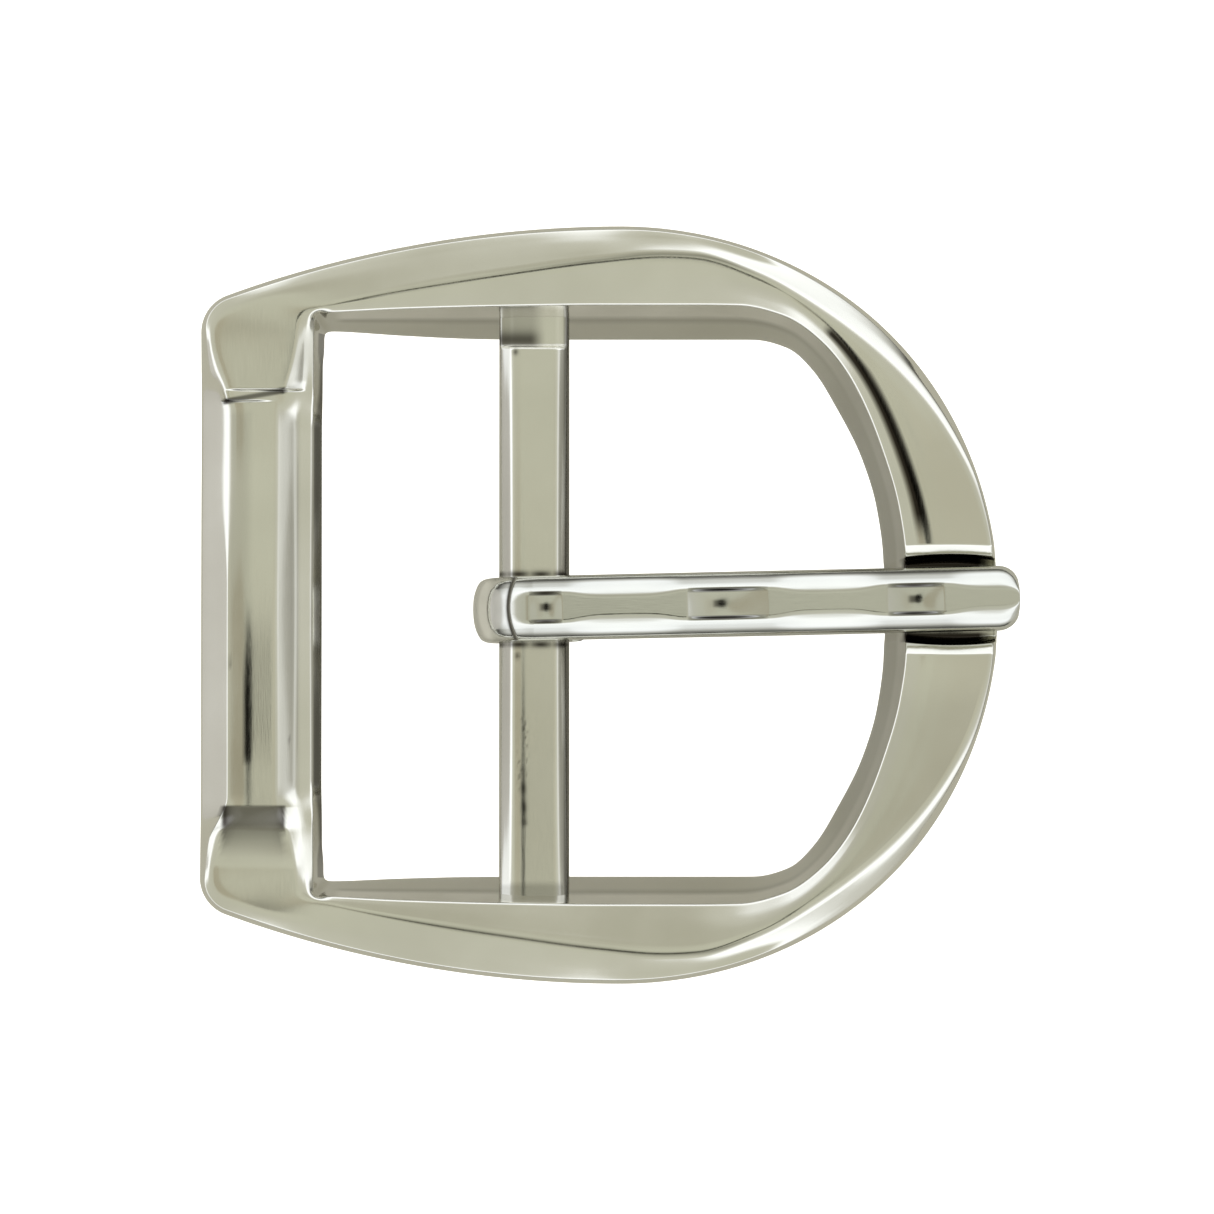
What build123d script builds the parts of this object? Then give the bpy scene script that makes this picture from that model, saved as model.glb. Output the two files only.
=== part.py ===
from build123d import *
from math import radians, sqrt, tan
import os

# Dress belt buckle for a 35 mm strap: a cast D frame, its centre bar and a hinged prong.
# X runs from the keeper bar to the prong tip, Y along the centre bar and Z out of the
# front face. The origin is the centre of the centre bar, which is the prong's axis.
# Millimetres throughout.

# ---- strap -------------------------------------------------------------------------
strap_width = 35.0
strap_side_play = 0.45                 # each side, between the strap and an arm

# ---- frame, in plan ----------------------------------------------------------------
keeper_edge_x = -22.25                 # outer edge of the straight keeper bar
nose_x = 31.0                          # outermost point of the curved arm
nose_radius = 25.25
nose_centre_x = nose_x - nose_radius
keeper_corner_y = 20.0                 # where the side arm would meet the keeper's edge
keeper_corner_radius = 2.6
window_half_height = strap_width / 2 + strap_side_play
window_left_x = -12.8                  # on the back plane
window_right_x = 23.3
window_nose_radius = 27.4
window_nose_fillet = 4.2
window_keeper_fillet = 0.8
window_draft = 14.0                    # degrees, opening towards the front

# ---- frame, in depth ---------------------------------------------------------------
back_z = -4.25                         # the plane that the buckle lies on
front_crown_z = 3.25                   # highest line of the front, over the side arms
front_nose_z = 2.75
front_keeper_z = 2.7
arm_lift_x = -1.0                      # the back of each arm rises from here
arm_lift_end_x = -17.0                 # to here, so the strap passes under the keeper
arm_keeper_back_z = -0.5
keeper_back_z = 0.55                   # underside of the keeper bar, over the strap
keeper_recess = 0.45                   # the keeper's middle lies below its end blocks
keeper_recess_half_length = 13.4
keeper_recess_ramp = 1.1
blank_top_z = front_crown_z + 0.1      # the bevel below runs up to here
front_edge_bevel = 1.45
back_edge_bevel = 0.4

# The broad outer facet of each side arm falls away from a ridge line. The line starts at
# the window's keeper corner and reaches the outer bevel over the arm's middle.
ridge_start = (-14.0, 20.0, 3.0)
ridge_end = (10.0, 23.6, 3.24)
outer_facet_slope = 14.0               # degrees below level

# ---- notch for the prong -----------------------------------------------------------
notch_width = 6.0
notch_centre_y = 0.3
notch_floor_z = 1.0
notch_edge_bevel = 0.4

# ---- centre bar --------------------------------------------------------------------
bar_width = 4.7
bar_thickness = 2.4
bar_edge_radius = 0.8
bar_seat_depth = 1.6                   # length of each end that is let into an arm
bar_half_length = window_half_height - back_z * tan(radians(window_draft)) + bar_seat_depth

# ---- prong -------------------------------------------------------------------------
prong_width = 4.3
prong_tip_x = 32.3
prong_tip_round = 1.35
loop_bore_radius = 2.5
loop_outer_radius = 4.1
loop_edge_bevel = 0.7
shank_top_z = 4.1
shank_tip_top_z = 3.75
shank_root_under_z = 2.3
notch_gap = 0.05                       # between the resting prong and the notch floor
shank_bend_x = 19.0                    # the underside comes down to the notch by here
crown_flat_width = 1.7
crown_bevel_drop = 0.85
loop_seam = 0.3                        # gap between the curled end and the shank
prong_yaw = 1.3                        # degrees, taken up by the loop's play on the bar
prong_offset_y = -0.3
groove_depth = 0.45
groove_end_ramp = 0.35
grooves = [(-0.3, 1.9), (10.2, 15.6), (23.5, 27.3)]     # X from and to, across the crown

far = 60.0                             # reaches past every part of the buckle


def xz_face(*edges):
    """A face in the XZ plane from edges drawn as (x, z)."""
    return Plane.XZ * make_face(edges)


def frame_outline():
    """Outer outline: a round nose, two flat-arched side arms and a straight keeper edge."""
    top = (nose_centre_x, nose_radius)
    bottom = (nose_centre_x, -nose_radius)
    corner_top = (keeper_edge_x, keeper_corner_y)
    corner_bottom = (keeper_edge_x, -keeper_corner_y)
    nose = ThreePointArc(top, (nose_x, 0), bottom)
    upper_arm = TangentArc(top, corner_top, tangent=(-1, 0))
    lower_arm = TangentArc(bottom, corner_bottom, tangent=(-1, 0))
    keeper_edge = Line(corner_top, corner_bottom)
    face = make_face([nose, upper_arm, keeper_edge, lower_arm])
    corners = face.vertices().group_by(Axis.X)[0]
    return fillet(corners, keeper_corner_radius)


def window_outline():
    """Window on the back plane: straight on three sides, bowed towards the nose."""
    bow_centre_x = window_right_x - window_nose_radius
    shoulder_x = bow_centre_x + sqrt(window_nose_radius**2 - window_half_height**2)
    top_left = (window_left_x, window_half_height)
    bottom_left = (window_left_x, -window_half_height)
    top_right = (shoulder_x, window_half_height)
    bottom_right = (shoulder_x, -window_half_height)
    bow = ThreePointArc(top_right, (window_right_x, 0), bottom_right)
    straights = Polyline(bottom_right, bottom_left, top_left, top_right)
    face = make_face([bow, straights])
    face = fillet(face.vertices().group_by(Axis.X)[-1], window_nose_fillet)
    return fillet(face.vertices().group_by(Axis.X)[0], window_keeper_fillet)


def frame_side_profile():
    """Side view of the frame: crowned front, flat back, arms thinning towards the keeper."""
    left = keeper_edge_x - 1
    right = nose_x + 1
    front = ThreePointArc(
        (left, front_keeper_z), (nose_centre_x, front_crown_z), (right, front_nose_z)
    )
    base = Polyline((right, front_nose_z), (right, back_z), (arm_lift_x, back_z))
    lift = Spline(
        (arm_lift_x, back_z), (arm_lift_end_x, arm_keeper_back_z), tangents=[(-1, 0), (-1, 0)]
    )
    keeper_end = Polyline(
        (arm_lift_end_x, arm_keeper_back_z), (left, arm_keeper_back_z), (left, front_keeper_z)
    )
    return extrude(xz_face(front, base, lift, keeper_end), amount=far, both=True)


def outer_facet_cutter(side):
    """Block whose lower face is the sloping outer facet; side is +1 or -1 along Y."""
    ridge = Vector(*ridge_end) - Vector(*ridge_start)
    ridge_plane = Plane(origin=ridge_start, x_dir=ridge, z_dir=(0, 0, 1))
    block = Rot(-outer_facet_slope, 0, 0) * Pos(0, 0, far / 2) * Box(2 * far, 2 * far, far)
    cutter = ridge_plane * block
    return cutter if side > 0 else mirror(cutter, about=Plane.XZ)


def keeper_recess_cutter():
    """Block that lowers the middle of the keeper's front, with a ramp at each end."""
    floor_z = front_keeper_z - keeper_recess
    half = keeper_recess_half_length
    section = Plane.YZ * make_face(
        Polyline(
            (-half, floor_z),
            (half, floor_z),
            (half + keeper_recess_ramp, front_crown_z + 1),
            (-half - keeper_recess_ramp, front_crown_z + 1),
            close=True,
        )
    )
    length = window_left_x - keeper_edge_x + 2
    return Pos(keeper_edge_x - 1, 0, 0) * extrude(section, amount=length)


def notch_cutter():
    """Box for the prong's notch, widened at the top by a bevel along each side."""
    half = notch_width / 2
    bevel_z = front_nose_z - notch_edge_bevel
    section = Plane.YZ * make_face(
        Polyline(
            (-half, notch_floor_z),
            (half, notch_floor_z),
            (half, bevel_z),
            (half + far, bevel_z + far),
            (-half - far, bevel_z + far),
            (-half, bevel_z),
            close=True,
        )
    )
    return Pos(window_right_x - 3, notch_centre_y, 0) * extrude(section, amount=far)


def make_frame():
    blank = extrude(Pos(0, 0, back_z) * frame_outline(), amount=blank_top_z - back_z)
    blank = chamfer(blank.faces().sort_by(Axis.Z)[-1].edges(), front_edge_bevel)
    blank = chamfer(blank.faces().sort_by(Axis.Z)[0].edges(), back_edge_bevel)
    blank &= frame_side_profile()
    window = extrude(
        Pos(0, 0, back_z) * window_outline(),
        amount=front_crown_z - back_z + 1,
        taper=-window_draft,
    )
    frame = blank - window
    under_keeper = Box(far, 2 * (window_half_height + 0.2), far)
    frame -= Pos(window_left_x + 1 - far / 2, 0, keeper_back_z - far / 2) * under_keeper
    frame -= outer_facet_cutter(1)
    frame -= outer_facet_cutter(-1)
    frame -= keeper_recess_cutter()
    frame -= notch_cutter()
    return frame - make_centre_bar()


def make_centre_bar():
    """Flat bar with rounded edges, let into both side arms."""
    section = RectangleRounded(bar_width, bar_thickness, bar_edge_radius)
    return extrude(Plane.XZ * section, amount=bar_half_length, both=True)


def shank_top(x):
    """Height of the shank's crown at x."""
    return shank_top_z + (shank_tip_top_z - shank_top_z) * x / prong_tip_x


def make_shank():
    """Straight shank: bevelled crown, underside coming down to the notch, rounded tip."""
    under_z = notch_floor_z + notch_gap
    side = xz_face(
        Polyline(
            (0, shank_top_z),
            (prong_tip_x, shank_tip_top_z),
            (prong_tip_x, under_z),
            (shank_bend_x, under_z),
            (0, shank_root_under_z),
            close=True,
        )
    )
    side = fillet(side.vertices().group_by(Axis.X)[-1], prong_tip_round * 0.9)
    shank = extrude(side, amount=prong_width / 2, both=True)
    half = prong_width / 2
    half_flat = crown_flat_width / 2
    section = Plane.YZ * make_face(
        Polyline(
            (-half, back_z),
            (half, back_z),
            (half, shank_top_z - crown_bevel_drop),
            (half_flat, shank_top_z),
            (-half_flat, shank_top_z),
            (-half, shank_top_z - crown_bevel_drop),
            close=True,
        )
    )
    slope = (shank_tip_top_z - shank_top_z) / prong_tip_x
    shank &= extrude(section, amount=far, dir=(1, 0, slope))
    plan = Pos(prong_tip_x / 2, 0) * Rectangle(prong_tip_x, prong_width)
    plan = fillet(plan.vertices().group_by(Axis.X)[-1], prong_tip_round)
    return shank & extrude(plan, amount=far, both=True)


def groove_cutter(x_from, x_to):
    """Shallow groove across the crown, with a short ramp at each end."""
    floor_from = shank_top(x_from) - groove_depth
    floor_to = shank_top(x_to) - groove_depth
    section = xz_face(
        Polyline(
            (x_from, shank_top_z + 0.1),
            (x_from + groove_end_ramp, floor_from),
            (x_to - groove_end_ramp, floor_to),
            (x_to, shank_top_z + 0.1),
            close=True,
        )
    )
    return extrude(section, amount=prong_width, both=True)


def make_prong():
    """Loop curled round the bar, and the shank that rests in the notch."""
    loop = Rot(90, 0, 0) * Cylinder(loop_outer_radius, prong_width)
    loop = chamfer(loop.edges().filter_by(GeomType.CIRCLE), loop_edge_bevel)
    seam_z = shank_root_under_z - loop_seam / 2
    loop -= Pos(far / 2, 0, seam_z) * Box(far, far, loop_seam)
    prong = loop + make_shank()
    prong -= Rot(90, 0, 0) * Cylinder(loop_bore_radius, far)
    for x_from, x_to in grooves:
        prong -= groove_cutter(x_from, x_to)
    return Pos(0, prong_offset_y, 0) * Rot(0, 0, prong_yaw) * prong


os.makedirs("parts", exist_ok=True)
export_step(make_frame(), "parts/frame.step")
export_step(make_centre_bar(), "parts/centre_bar.step")
export_step(make_prong(), "parts/prong.step")
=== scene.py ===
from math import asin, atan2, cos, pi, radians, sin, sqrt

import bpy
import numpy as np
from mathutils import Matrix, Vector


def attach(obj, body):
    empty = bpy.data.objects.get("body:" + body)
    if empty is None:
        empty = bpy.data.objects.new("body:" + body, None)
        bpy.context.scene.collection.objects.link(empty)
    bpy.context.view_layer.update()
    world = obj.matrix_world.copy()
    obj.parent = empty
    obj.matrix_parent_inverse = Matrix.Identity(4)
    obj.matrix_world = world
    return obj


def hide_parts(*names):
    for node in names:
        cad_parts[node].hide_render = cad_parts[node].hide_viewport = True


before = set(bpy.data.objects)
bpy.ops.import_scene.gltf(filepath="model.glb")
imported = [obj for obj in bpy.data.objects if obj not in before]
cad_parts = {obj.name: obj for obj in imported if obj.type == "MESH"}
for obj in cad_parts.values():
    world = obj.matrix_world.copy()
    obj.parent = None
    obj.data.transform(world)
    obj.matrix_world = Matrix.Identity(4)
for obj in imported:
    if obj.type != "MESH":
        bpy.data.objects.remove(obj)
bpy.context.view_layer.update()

# Dress belt buckle: a cast D frame, its centre bar and a hinged prong, in polished nickel.
# Lengths below are millimetres in the frame's axes; MM turns them into metres. X runs from
# the keeper bar to the prong tip, Y along the centre bar and Z out of the front face.

MM = 0.001

# ---- sizes -------------------------------------------------------------------------
KEEPER_EDGE_X = -22.25          # outer edge of the straight keeper bar
NOSE_RADIUS = 25.25
NOSE_FULLNESS = 0.28            # how far its shoulders stand outside that circle
NOSE_CENTRE_X = 5.75
CORNER_Y = 20.0                 # where the side arm would meet the keeper's edge
CORNER_RADIUS = 2.6
BACK_Z = -4.25
KEEPER_BACK_Z = 0.55            # underside of the keeper, over the strap
ARM_END_BACK_Z = -0.5           # underside of an arm where it joins the keeper
ARM_LIFT_X = -1.0               # the underside of each arm rises from here to the keeper
ARM_LIFT_LENGTH = 16.0
NOTCH_HALF = 3.0
NOTCH_Y = 0.3
NOTCH_FLOOR_Z = 1.0
NOTCH_CHAMFER = 0.7             # width of its softened top edges
NOTCH_LIP_SLOPE = 0.62          # how steeply they fall, and over what width they curve over
NOTCH_LIP_CURVE = 0.08
NOTCH_BEND = 0.8                # of its floor's corners
STEP_Y = 13.9                   # near the middle of the slope from the keeper to a block
BAR_HALF_LENGTH = 20.6
BAR_FALL = 0.4                  # how far the top of the bar falls from its middle to its ends
# The bar's section: (x, z, whether the line is on the crowned top), and its edge radii.
BAR_SECTION = [(-2.35, -0.55, False), (-2.35, 0.4, False), (-1.5, 1.12, True),
               (-0.85, 1.19, True), (1.6, 1.06, True), (2.35, 0.3, False),
               (2.35, -0.55, False), (1.75, -1.2, False), (-1.75, -1.2, False)]
BAR_RADII = [0.3, 0.25, 0.2, 0.3, 0.25, 0.35, 0.3, 0.3, 0.3]


# ---- curves ------------------------------------------------------------------------
def arc(cx, cy, r, start, end, count=90):
    """Points round a circle, angles in radians."""
    a = np.linspace(start, end, count)
    return np.stack([cx + r * np.cos(a), cy + r * np.sin(a)], 1)


def curve(points, blur=0.7, spacing=0.08):
    """A dense line through points of any dimension, set out by chord length in plan. It never
    overshoots a point, and is blurred along its length so that reflections run smoothly. Both
    ends lie on the axis y = 0, and the line is mirrored there while it is blurred."""
    p = np.array(points, float)
    t = np.concatenate([[0], np.cumsum(np.linalg.norm(np.diff(p[:, :2], axis=0), axis=1))])
    h = np.diff(t)
    x = np.linspace(0, t[-1], int(t[-1] / spacing) + 2)
    k = np.clip(np.searchsorted(t, x, side="right") - 1, 0, len(h) - 1)
    u = (x - t[k]) / h[k]
    reach = int(3 * blur / spacing) + 1
    kernel = np.exp(-0.5 * (np.arange(-reach, reach + 1) * spacing / blur) ** 2)
    kernel /= kernel.sum()
    columns = []
    for i in range(p.shape[1]):
        d = np.diff(p[:, i]) / h
        m = np.zeros(len(p))
        rising = d[:-1] * d[1:] > 0
        w1, w2 = 2 * h[1:] + h[:-1], h[1:] + 2 * h[:-1]
        with np.errstate(divide="ignore", invalid="ignore"):
            mean = (w1 + w2) / (w1 / d[:-1] + w2 / d[1:])
        m[1:-1] = np.where(rising, mean, 0)
        if i == 1:
            m[0], m[-1] = d[0], d[-1]
        v = ((2 * u ** 3 - 3 * u ** 2 + 1) * p[k, i] + (u ** 3 - 2 * u ** 2 + u) * h[k] * m[k]
             + (3 * u ** 2 - 2 * u ** 3) * p[k + 1, i] + (u ** 3 - u ** 2) * h[k] * m[k + 1])
        sign = -1 if i == 1 else 1
        padded_v = np.concatenate([sign * v[reach:0:-1], v, sign * v[-2:-reach - 2:-1]])
        columns.append(np.convolve(padded_v, kernel, mode="valid"))
    return np.stack(columns, 1)


def lengths(line):
    return np.concatenate([[0], np.cumsum(np.linalg.norm(np.diff(line[:, :2], axis=0), axis=1))])


def smooth(x, low, high):
    """0 below low, 1 above high and a smooth step between them."""
    t = np.clip((x - low) / (high - low), 0, 1)
    return t * t * (3 - 2 * t)


def between(x, start, full, fade, end):
    """0 below start, 1 from full to fade and 0 above end."""
    return smooth(x, start, full) * (1 - smooth(x, fade, end))


def spot(x, y, at, size):
    """1 at a point, falling off round it over its size in x and y."""
    return np.exp(-((x - at[0]) / size[0]) ** 2 - ((y - at[1]) / size[1]) ** 2)


# ---- stations round half the frame, from the keeper's middle to the nose's ----------
def clustered(start, end, spacing, marks, fine, reach):
    """Values from start to end, closer together within reach of each mark."""
    values = [start]
    direction = 1 if end > start else -1
    while (end - values[-1]) * direction > 1e-9:
        near = min([abs(values[-1] - m) for m in marks] or [1e9])
        step = fine if near < reach else min(spacing, max(fine, (near - reach) * 0.6))
        values.append(values[-1] + direction * step)
    values[-1] = end
    return np.array(values)


KEEPER_TOP_Y = 17.4             # stations cross the keeper straight up to here
ARM_FROM_X = -12.6              # and the arm from here
ARM_TO_X = 13.5                 # to here
NOSE_FROM_Y = 5.6               # and the nose, along X, from here down to its middle
keeper_ys = clustered(0.0, KEEPER_TOP_Y, 0.45, [STEP_Y], 0.045, 0.75)
arm_xs = np.linspace(ARM_FROM_X, ARM_TO_X, 74)
CORNER_STATIONS = 54
SHOULDER_STATIONS = 76


def hermite(s0, s1, m0, m1, count):
    """Monotone run of count values strictly between s0 and s1 with those end steps."""
    limit = 2.6 * (s1 - s0) / (count + 1)
    m0, m1 = min(m0, limit), min(m1, limit)
    u = np.arange(1, count + 1) / (count + 1)
    n = count + 1
    return ((2 * u ** 3 - 3 * u ** 2 + 1) * s0 + (u ** 3 - 2 * u ** 2 + u) * n * m0
            + (3 * u ** 2 - 2 * u ** 3) * s1 + (u ** 3 - u ** 2) * n * m1)


def at_stations(line, nose_ys):
    """The points of a half-ring line at every station."""
    s = lengths(line)
    top = int(np.argmax(line[:, 1] > KEEPER_TOP_Y + 0.02)) + 1
    crest = int(np.argmax(line[:, 1]))
    s_keeper = np.interp(keeper_ys, line[:top, 1], s[:top])
    s_arm = np.interp(arm_xs, line[top:, 0], s[top:])
    s_nose = np.interp(-nose_ys, -line[crest:, 1], s[crest:])
    corner = hermite(s_keeper[-1], s_arm[0], s_keeper[-1] - s_keeper[-2],
                     s_arm[1] - s_arm[0], CORNER_STATIONS)
    shoulder = hermite(s_arm[-1], s_nose[0], s_arm[-1] - s_arm[-2],
                       s_nose[1] - s_nose[0], SHOULDER_STATIONS)
    where = np.concatenate([s_keeper, corner, s_arm, shoulder, s_nose])
    return np.stack([np.interp(where, s, line[:, i]) for i in range(line.shape[1])], 1)


def outer_outline():
    """Half of the silhouette: keeper edge, rounded corner, long arm arc and the nose."""
    top = np.array([NOSE_CENTRE_X, NOSE_RADIUS])
    corner = np.array([KEEPER_EDGE_X, CORNER_Y])
    chord = top - corner
    arm_radius = (chord @ chord) / (2 * chord[1])
    centre = top - np.array([0, arm_radius])
    # The corner's circle touches the keeper's edge and the arm's arc from inside.
    fillet_x = KEEPER_EDGE_X + CORNER_RADIUS
    fillet_y = centre[1] + sqrt((arm_radius - CORNER_RADIUS) ** 2 - (fillet_x - centre[0]) ** 2)
    touch = atan2(fillet_y - centre[1], fillet_x - centre[0])
    straight = np.stack([np.full(200, KEEPER_EDGE_X), np.linspace(0, fillet_y, 200)], 1)
    a = np.linspace(pi / 2, 0, 400)
    r = NOSE_RADIUS + NOSE_FULLNESS * np.sin(2 * a) ** 2
    nose = np.stack([NOSE_CENTRE_X + r * np.cos(a), r * np.sin(a)], 1)
    return np.concatenate([
        straight[:-1],
        arc(fillet_x, fillet_y, CORNER_RADIUS, pi, touch, 60)[:-1],
        arc(centre[0], centre[1], arm_radius, touch, pi / 2, 240)[:-1],
        nose])


def back_height(x, y):
    """Height of the underside: flat under the nose, lifting to the keeper over the strap."""
    arm = BACK_Z + (ARM_END_BACK_Z - BACK_Z) * smooth(-x, -ARM_LIFT_X,
                                                      ARM_LIFT_LENGTH - ARM_LIFT_X)
    keeper = smooth(-x, 14.6, 16.6) * (1 - smooth(y, 16.6, 18.4))
    window_edge = smooth(-x, 13.2, 13.9) * (1 - smooth(y, 15.9, 17.4))
    return arm + (KEEPER_BACK_Z - arm) * np.maximum(keeper, window_edge)


# Feature lines of the front, as (x, half y, z) from the keeper's middle to the nose. Along the
# keeper they give the end blocks; the lower middle between the blocks comes from KEEPER_MID.
CREASE_LINE = [
    (-20.5, 0, 2.78), (-20.5, 13.6, 2.78), (-20.95, 15.4, 2.8), (-21.55, 17.6, 2.8),
    (-21.2, 18.9, 2.86), (-19.6, 19.95, 2.89), (-17.6, 20.7, 2.88), (-13.9, 21.5, 2.82),
    (-8.9, 22.55, 2.77), (-2.3, 23.5, 2.82), (4.4, 24.05, 2.97), (10.4, 23.95, 3.02),
    (14.8, 22.8, 2.86), (19.4, 20.4, 2.78), (23.9, 16.8, 2.72), (27.6, 12.3, 2.62),
    (29.9, 7.4, 2.5), (30.66, 3.4, 2.42), (30.78, 0, 2.4)]
RIDGE_LINE = [
    (-16.6, 0, 2.79), (-16.6, 14, 2.79), (-16.1, 16.0, 2.82), (-15.8, 17.6, 2.86),
    (-15.6, 19.3, 2.91), (-15.1, 19.72, 2.94), (-13.6, 20.02, 2.97), (-8.9, 20.95, 3.04),
    (-2.3, 22.0, 3.12), (4.4, 22.9, 3.2), (8.6, 23.3, 3.23), (10.9, 23.2, 3.24),
    (14.7, 22.05, 3.24), (19.2, 19.6, 3.21), (23.8, 15.9, 3.02), (27.2, 11.9, 2.86),
    (29.5, 7.4, 2.66), (30.42, 3.5, 2.53), (30.56, 0, 2.5)]
SHOULDER_LINE = [
    (-15.3, 0, 2.1), (-15.3, 14, 2.1), (-15.2, 16.2, 2.36), (-15.1, 18.0, 2.6),
    (-15.0, 19.2, 2.86), (-14.6, 19.56, 2.93), (-13.4, 19.76, 2.95), (-8.9, 20.3, 2.94),
    (-2.3, 20.95, 2.92), (4.4, 21.45, 2.92), (10.4, 21.7, 2.98), (15.2, 20.9, 3.12),
    (19.0, 18.8, 3.24), (22.2, 14.9, 3.15), (24.35, 10.3, 3.0), (25.6, 6.3, 2.87),
    (26.15, 3.2, 2.77), (26.25, 0, 2.74)]
INNER_LINE = [
    (-14.7, 0, 1.95), (-14.7, 14, 1.95), (-14.66, 16.2, 2.15), (-14.62, 18.4, 2.42),
    (-14.6, 19.1, 2.44), (-14.35, 19.38, 2.5), (-13.5, 19.42, 2.84), (-8.9, 19.66, 2.78),
    (-2.3, 19.85, 2.66), (4.4, 19.95, 2.58), (10.4, 19.95, 2.55), (13.6, 19.9, 2.62),
    (16.6, 19.2, 2.78), (19.1, 17.5, 2.86), (21.2, 14.8, 2.87), (23.2, 10.2, 2.76),
    (24.3, 6.3, 2.6), (24.72, 3.2, 2.48), (24.8, 0, 2.45)]
RIM_LINE = [
    (-14.05, 0), (-14.05, 7), (-14.05, 14), (-14.05, 17.2), (-14.05, 18.1), (-13.97, 18.32),
    (-13.75, 18.37), (-8.9, 18.2), (-4.0, 18.1), (3.7, 18.08), (10.5, 18.08), (14.8, 18.08),
    (17.1, 17.52), (18.8, 16.0), (20.3, 13.6), (22.1, 10.0), (23.05, 6.8), (23.5, 3.4),
    (23.62, 0)]
# Across the keeper's middle, for the bevel, crease, ridge, shoulder and inner lines: x, z, how
# much of the crown it takes, and the half y from which it rises to the end block. The bevel
# and the inner facets rise gently past the block's step, which only crosses the main face.
KEEPER_MID = [(-20.4, 2.46, 1.0, 12.8), (-19.3, 2.57, 1.0, 13.5), (-17.15, 2.43, 1.0, 14.2),
              (-15.85, 1.72, 0.7, 12.0), (-14.85, 1.42, 0.5, 11.6)]
KEEPER_CROWN = 0.29             # how far the keeper's middle falls towards its end blocks
KEEPER_CROWN_END = 11.2
GENTLE_RISE = 3.0               # length of the rise of the bevel and the inner facets
UPPER_STEP, LOWER_STEP = 0.15, 1.55     # length of the slope up to each end block
LOWER_ROLL = 2.6                # length over which the lower block's face rolls over
LOWER_ROLL_SHARE = 0.35         # and its share of the step's height
LINEAR_SHARE = 0.7              # of the lower step that is a straight slope
# By the length s along the outline: how far inside it the bevel's line runs, the height of
# that line, and the height of the outline's own edge.
BEVEL_INSET = [(0, 1.0), (13.6, 1.0), (15.6, 0.6), (17.4, 0.38), (19.5, 0.3), (45, 0.26),
               (70, 0.28), (95, 0.28)]
BEVEL_Z = [(0, 2.34), (14.5, 2.34), (16.0, 2.42), (18.0, 2.66), (20.5, 2.76), (24, 2.7),
           (30, 2.57), (40, 2.56), (47, 2.68), (50, 2.82), (54, 2.9), (57, 2.84), (61, 2.46),
           (66, 2.34), (74, 2.3), (84, 2.26), (95, 2.22)]
EDGE_Z = [(0, 1.2), (6, 1.1), (11, 0.9), (13.4, 0.88), (18, 1.7), (23, 2.1), (36, 2.12),
          (50, 2.35), (56, 2.2), (62, 1.96), (74, 1.9), (95, 1.86)]


def along(table, s, blur=1.2):
    """Values of a (length, value) table at lengths s, blurred."""
    t = np.array(table, float)
    offsets = np.linspace(-2 * blur, 2 * blur, 15)
    weights = np.exp(-0.5 * (offsets / blur) ** 2)
    values = [np.interp(np.abs(s + o), t[:, 0], t[:, 1]) for o in offsets]
    return np.tensordot(weights / weights.sum(), values, 1)


def notch_cut(z, y):
    """Height z cut down to the notch: a floor with round corners, then softened top edges."""
    d = np.abs(y - NOTCH_Y)
    bend = np.clip(d - (NOTCH_HALF - NOTCH_BEND), 0, NOTCH_BEND)
    floor = NOTCH_FLOOR_Z + NOTCH_BEND - np.sqrt(np.maximum(NOTCH_BEND ** 2 - bend ** 2, 0))
    near = np.clip(NOTCH_CHAMFER - (d - NOTCH_HALF), 0, NOTCH_CHAMFER)
    lip = NOTCH_LIP_SLOPE * near ** 2 / (near + NOTCH_LIP_CURVE)
    return np.where(d < NOTCH_HALF, np.minimum(floor, z), z - lip)


# The feature lines, in order from the back's outer edge over the front to the back's inner one.
BACK, EDGE, BEVEL, CREASE, RIDGE, SHOULDER, INNER, RIM = range(8)
KEEPER_ENDS_X = -14.0           # the keeper's own shape holds on this side of here
NOTCH_FROM_X = 20.0             # and the notch is cut beyond here


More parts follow.
